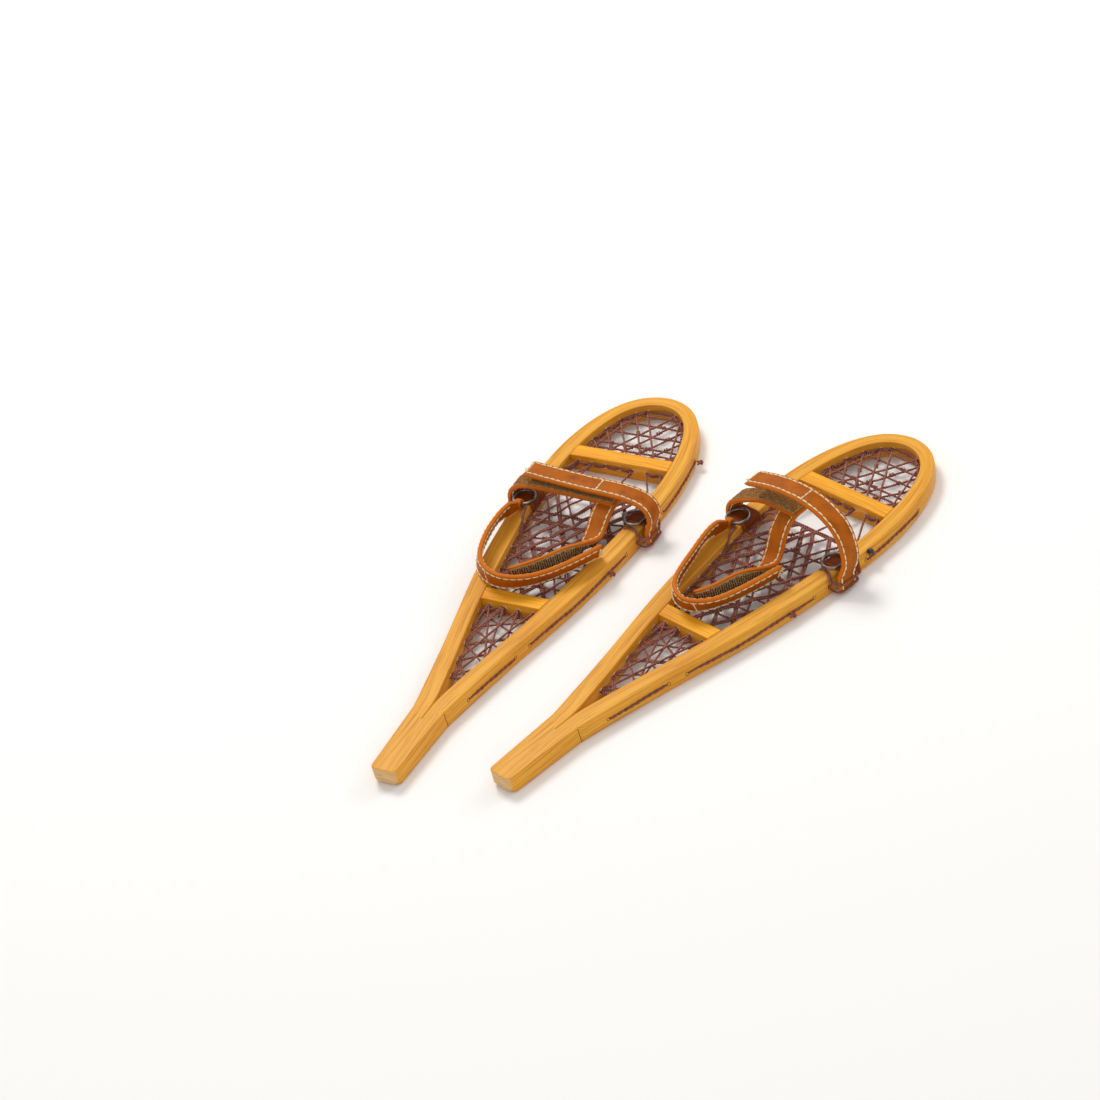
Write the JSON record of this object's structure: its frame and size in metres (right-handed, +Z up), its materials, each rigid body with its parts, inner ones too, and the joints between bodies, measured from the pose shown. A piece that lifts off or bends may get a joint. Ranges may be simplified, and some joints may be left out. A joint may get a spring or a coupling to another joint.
{
  "type": "snowshoe pair",
  "caption": "Small teardrop-shaped wooden snowshoes with solid tail handles, laced with twine, with leather toe and heel straps.",
  "frame": {"origin": "centre of the pair's footprint on the ground", "axes": "+Z up, +Y from the tails to the toes, +X towards the right shoe"},
  "size_m": [0.2272, 0.3542, 0.0499],
  "materials": {
    "frame_wood": "varnished pale wood",
    "bar_wood": "varnished yellow wood",
    "twine": "twisted brown twine",
    "leather": "smooth tan, cream edge stitching",
    "ring_steel": "dull grey wire",
    "hook_tape": "hook tape",
    "loop_tape": "loop pile tape"
  },
  "bodies": {
    "left_shoe": {"left_bow": "frame_wood", "left_center_lacing": "twine", "left_front_crossbar": "bar_wood", "left_handle": "frame_wood", "left_keeper_left": "leather", "left_keeper_right": "leather", "left_lacing_knots": "twine", "left_lashing_left": "twine", "left_lashing_right": "twine", "left_loop_strap": "leather", "left_loop_tape": "loop_tape", "left_rear_crossbar": "bar_wood", "left_ring_left": "ring_steel", "left_tail_lacing": "twine", "left_toe_lacing": "twine", "left_toe_strap_foot": "leather", "left_tongue_tape": "loop_tape"},
    "left_toe_strap": {"left_toe_strap": "leather", "left_toe_strap_hook": "hook_tape"},
    "left_heel_strap": {"left_heel_strap": "leather", "left_heel_strap_hook": "hook_tape"},
    "left_loose_ring": {"left_ring_right": "ring_steel"},
    "right_shoe": {"right_bow": "frame_wood", "right_center_lacing": "twine", "right_front_crossbar": "bar_wood", "right_handle": "frame_wood", "right_keeper_left": "leather", "right_keeper_right": "leather", "right_lacing_knots": "twine", "right_lashing_left": "twine", "right_lashing_right": "twine", "right_loop_strap": "leather", "right_loop_tape": "loop_tape", "right_rear_crossbar": "bar_wood", "right_ring_left": "ring_steel", "right_tail_lacing": "twine", "right_toe_lacing": "twine", "right_toe_strap_foot": "leather", "right_tongue_tape": "loop_tape"},
    "right_toe_strap": {"right_toe_strap": "leather", "right_toe_strap_hook": "hook_tape"},
    "right_heel_strap": {"right_heel_strap": "leather", "right_heel_strap_hook": "hook_tape"},
    "right_loose_ring": {"right_ring_right": "ring_steel"}
  },
  "joints": [
    {"name": "shoes_apart", "type": "slide", "parent": "left_shoe", "child": "right_shoe", "axis": [1, 0, 0], "range_m": [0, 0.1]},
    {"name": "left_toe_strap_open", "type": "hinge", "parent": "left_shoe", "child": "left_toe_strap", "pos_m": [-0.01624, 0.04871, 0.01], "axis": [-0.1461, 0.9893, 0], "range_deg": [0, 70]},
    {"name": "left_heel_strap_lift", "type": "hinge", "parent": "left_shoe", "child": "left_heel_strap", "pos_m": [-0.09752, 0.03236, 0.0143], "axis": [-0.9893, -0.1461, 0], "range_deg": [0, 35]},
    {"name": "left_ring_tilt", "type": "hinge", "parent": "left_shoe", "child": "left_loose_ring", "pos_m": [-0.02774, 0.0554, 0.0143], "axis": [-0.9893, -0.1461, 0], "range_deg": [0, 25]},
    {"name": "right_toe_strap_open", "type": "hinge", "parent": "right_shoe", "child": "right_toe_strap", "pos_m": [0.10918, 0.05929, 0.01], "axis": [0.1461, 0.9893, 0], "range_deg": [0, 70]},
    {"name": "right_heel_strap_lift", "type": "hinge", "parent": "right_shoe", "child": "right_heel_strap", "pos_m": [0.02664, 0.06713, 0.0143], "axis": [-0.9893, 0.1461, 0], "range_deg": [0, 35]},
    {"name": "right_ring_tilt", "type": "hinge", "parent": "right_shoe", "child": "right_loose_ring", "pos_m": [0.10011, 0.06902, 0.0143], "axis": [-0.9893, 0.1461, 0], "range_deg": [0, 25]}
  ]
}
